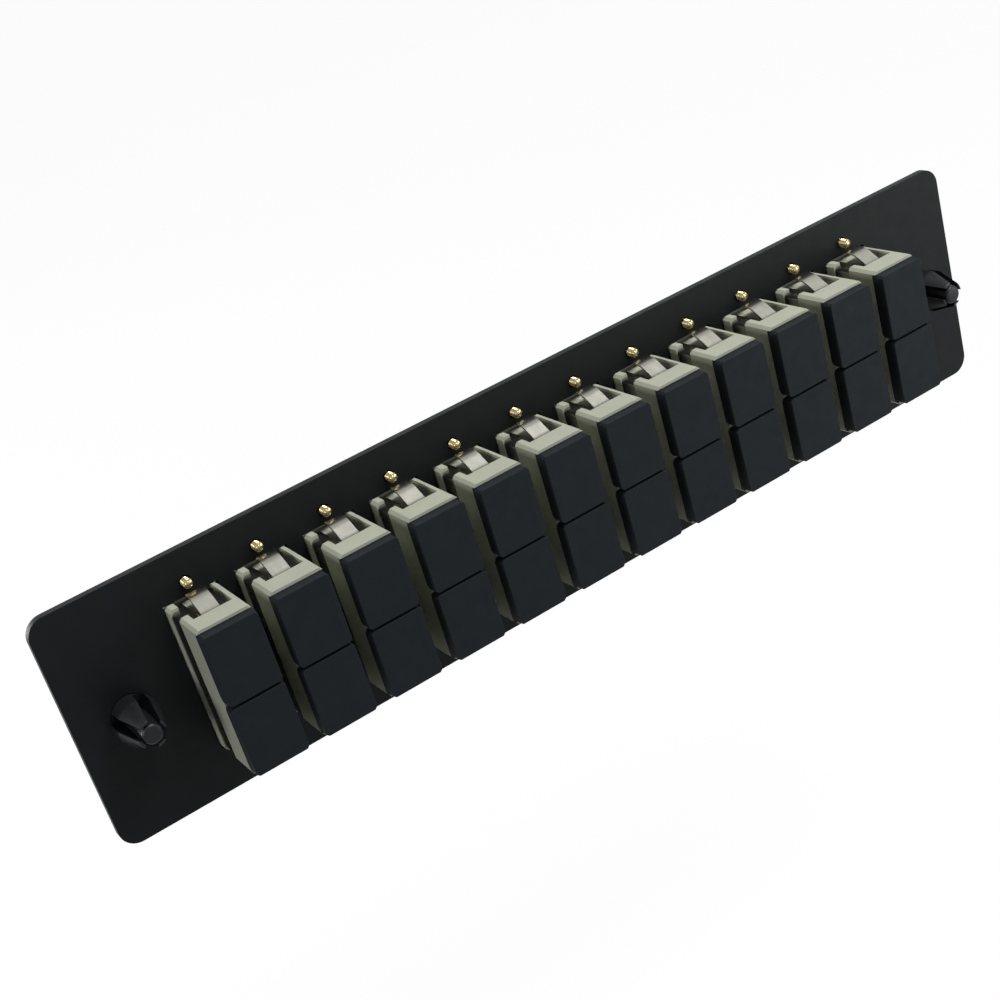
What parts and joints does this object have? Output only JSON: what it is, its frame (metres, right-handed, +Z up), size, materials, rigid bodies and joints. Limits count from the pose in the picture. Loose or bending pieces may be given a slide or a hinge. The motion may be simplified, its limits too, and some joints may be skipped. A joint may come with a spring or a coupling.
{
  "type": "fibre adapter panel",
  "caption": "Slim black adapter panel with a row of duplex fibre adapters, their dust caps and a push latch at each end.",
  "frame": {"origin": "middle of the plate's cable-side face, which seats on the bulkhead", "axes": "+X along the plate, +Y toward the patching side, +Z up"},
  "size_m": [0.1906, 0.0328, 0.0428],
  "materials": {
    "panel_black": "fine matt powder coat",
    "housing_plastic": "moulded, grey beige",
    "cap_plastic": "soft moulded, dark grey",
    "clip_steel": "rolled spring steel",
    "screw_brass": "plated, bright",
    "sleeve_bronze": "phosphor bronze",
    "holder_plastic": "moulded, natural",
    "latch_nylon": "moulded nylon, black"
  },
  "bodies": {
    "panel": {"panel_plate": "panel_black", "rear_housing_01": "housing_plastic", "rear_housing_02": "housing_plastic", "rear_housing_03": "housing_plastic", "rear_housing_04": "housing_plastic", "rear_housing_05": "housing_plastic", "rear_housing_06": "housing_plastic", "rear_housing_07": "housing_plastic", "rear_housing_08": "housing_plastic", "rear_housing_09": "housing_plastic", "rear_housing_10": "housing_plastic", "rear_housing_11": "housing_plastic", "rear_housing_12": "housing_plastic", "front_housing_01": "housing_plastic", "front_housing_02": "housing_plastic", "front_housing_03": "housing_plastic", "front_housing_04": "housing_plastic", "front_housing_05": "housing_plastic", "front_housing_06": "housing_plastic", "front_housing_07": "housing_plastic", "front_housing_08": "housing_plastic", "front_housing_09": "housing_plastic", "front_housing_10": "housing_plastic", "front_housing_11": "housing_plastic", "front_housing_12": "housing_plastic", "spring_clips": "clip_steel", "flange_screws": "screw_brass", "alignment_sleeves": "sleeve_bronze", "sleeve_holders": "holder_plastic", "front_dust_caps": "cap_plastic", "left_latch_grommet": "latch_nylon", "right_latch_grommet": "latch_nylon"},
    "upper_cap_01": {"upper_cap_01": "cap_plastic"},
    "lower_cap_01": {"lower_cap_01": "cap_plastic"},
    "upper_cap_02": {"upper_cap_02": "cap_plastic"},
    "lower_cap_02": {"lower_cap_02": "cap_plastic"},
    "upper_cap_03": {"upper_cap_03": "cap_plastic"},
    "lower_cap_03": {"lower_cap_03": "cap_plastic"},
    "upper_cap_04": {"upper_cap_04": "cap_plastic"},
    "lower_cap_04": {"lower_cap_04": "cap_plastic"},
    "upper_cap_05": {"upper_cap_05": "cap_plastic"},
    "lower_cap_05": {"lower_cap_05": "cap_plastic"},
    "upper_cap_06": {"upper_cap_06": "cap_plastic"},
    "lower_cap_06": {"lower_cap_06": "cap_plastic"},
    "upper_cap_07": {"upper_cap_07": "cap_plastic"},
    "lower_cap_07": {"lower_cap_07": "cap_plastic"},
    "upper_cap_08": {"upper_cap_08": "cap_plastic"},
    "lower_cap_08": {"lower_cap_08": "cap_plastic"},
    "upper_cap_09": {"upper_cap_09": "cap_plastic"},
    "lower_cap_09": {"lower_cap_09": "cap_plastic"},
    "upper_cap_10": {"upper_cap_10": "cap_plastic"},
    "lower_cap_10": {"lower_cap_10": "cap_plastic"},
    "upper_cap_11": {"upper_cap_11": "cap_plastic"},
    "lower_cap_11": {"lower_cap_11": "cap_plastic"},
    "upper_cap_12": {"upper_cap_12": "cap_plastic"},
    "lower_cap_12": {"lower_cap_12": "cap_plastic"},
    "left_latch_plunger": {"left_latch_plunger": "latch_nylon"},
    "right_latch_plunger": {"right_latch_plunger": "latch_nylon"}
  },
  "joints": [
    {"name": "upper_cap_01_pull", "type": "slide", "parent": "panel", "child": "upper_cap_01", "axis": [0, -1, 0], "range_m": [0, 0.01]},
    {"name": "lower_cap_01_pull", "type": "slide", "parent": "panel", "child": "lower_cap_01", "axis": [0, -1, 0], "range_m": [0, 0.01]},
    {"name": "upper_cap_02_pull", "type": "slide", "parent": "panel", "child": "upper_cap_02", "axis": [0, -1, 0], "range_m": [0, 0.01]},
    {"name": "lower_cap_02_pull", "type": "slide", "parent": "panel", "child": "lower_cap_02", "axis": [0, -1, 0], "range_m": [0, 0.01]},
    {"name": "upper_cap_03_pull", "type": "slide", "parent": "panel", "child": "upper_cap_03", "axis": [0, -1, 0], "range_m": [0, 0.01]},
    {"name": "lower_cap_03_pull", "type": "slide", "parent": "panel", "child": "lower_cap_03", "axis": [0, -1, 0], "range_m": [0, 0.01]},
    {"name": "upper_cap_04_pull", "type": "slide", "parent": "panel", "child": "upper_cap_04", "axis": [0, -1, 0], "range_m": [0, 0.01]},
    {"name": "lower_cap_04_pull", "type": "slide", "parent": "panel", "child": "lower_cap_04", "axis": [0, -1, 0], "range_m": [0, 0.01]},
    {"name": "upper_cap_05_pull", "type": "slide", "parent": "panel", "child": "upper_cap_05", "axis": [0, -1, 0], "range_m": [0, 0.01]},
    {"name": "lower_cap_05_pull", "type": "slide", "parent": "panel", "child": "lower_cap_05", "axis": [0, -1, 0], "range_m": [0, 0.01]},
    {"name": "upper_cap_06_pull", "type": "slide", "parent": "panel", "child": "upper_cap_06", "axis": [0, -1, 0], "range_m": [0, 0.01]},
    {"name": "lower_cap_06_pull", "type": "slide", "parent": "panel", "child": "lower_cap_06", "axis": [0, -1, 0], "range_m": [0, 0.01]},
    {"name": "upper_cap_07_pull", "type": "slide", "parent": "panel", "child": "upper_cap_07", "axis": [0, -1, 0], "range_m": [0, 0.01]},
    {"name": "lower_cap_07_pull", "type": "slide", "parent": "panel", "child": "lower_cap_07", "axis": [0, -1, 0], "range_m": [0, 0.01]},
    {"name": "upper_cap_08_pull", "type": "slide", "parent": "panel", "child": "upper_cap_08", "axis": [0, -1, 0], "range_m": [0, 0.01]},
    {"name": "lower_cap_08_pull", "type": "slide", "parent": "panel", "child": "lower_cap_08", "axis": [0, -1, 0], "range_m": [0, 0.01]},
    {"name": "upper_cap_09_pull", "type": "slide", "parent": "panel", "child": "upper_cap_09", "axis": [0, -1, 0], "range_m": [0, 0.01]},
    {"name": "lower_cap_09_pull", "type": "slide", "parent": "panel", "child": "lower_cap_09", "axis": [0, -1, 0], "range_m": [0, 0.01]},
    {"name": "upper_cap_10_pull", "type": "slide", "parent": "panel", "child": "upper_cap_10", "axis": [0, -1, 0], "range_m": [0, 0.01]},
    {"name": "lower_cap_10_pull", "type": "slide", "parent": "panel", "child": "lower_cap_10", "axis": [0, -1, 0], "range_m": [0, 0.01]},
    {"name": "upper_cap_11_pull", "type": "slide", "parent": "panel", "child": "upper_cap_11", "axis": [0, -1, 0], "range_m": [0, 0.01]},
    {"name": "lower_cap_11_pull", "type": "slide", "parent": "panel", "child": "lower_cap_11", "axis": [0, -1, 0], "range_m": [0, 0.01]},
    {"name": "upper_cap_12_pull", "type": "slide", "parent": "panel", "child": "upper_cap_12", "axis": [0, -1, 0], "range_m": [0, 0.01]},
    {"name": "lower_cap_12_pull", "type": "slide", "parent": "panel", "child": "lower_cap_12", "axis": [0, -1, 0], "range_m": [0, 0.01]},
    {"name": "left_latch_plunger_pull", "type": "slide", "parent": "panel", "child": "left_latch_plunger", "axis": [0, 1, 0], "range_m": [0, 0.005]},
    {"name": "right_latch_plunger_pull", "type": "slide", "parent": "panel", "child": "right_latch_plunger", "axis": [0, 1, 0], "range_m": [0, 0.005]}
  ]
}
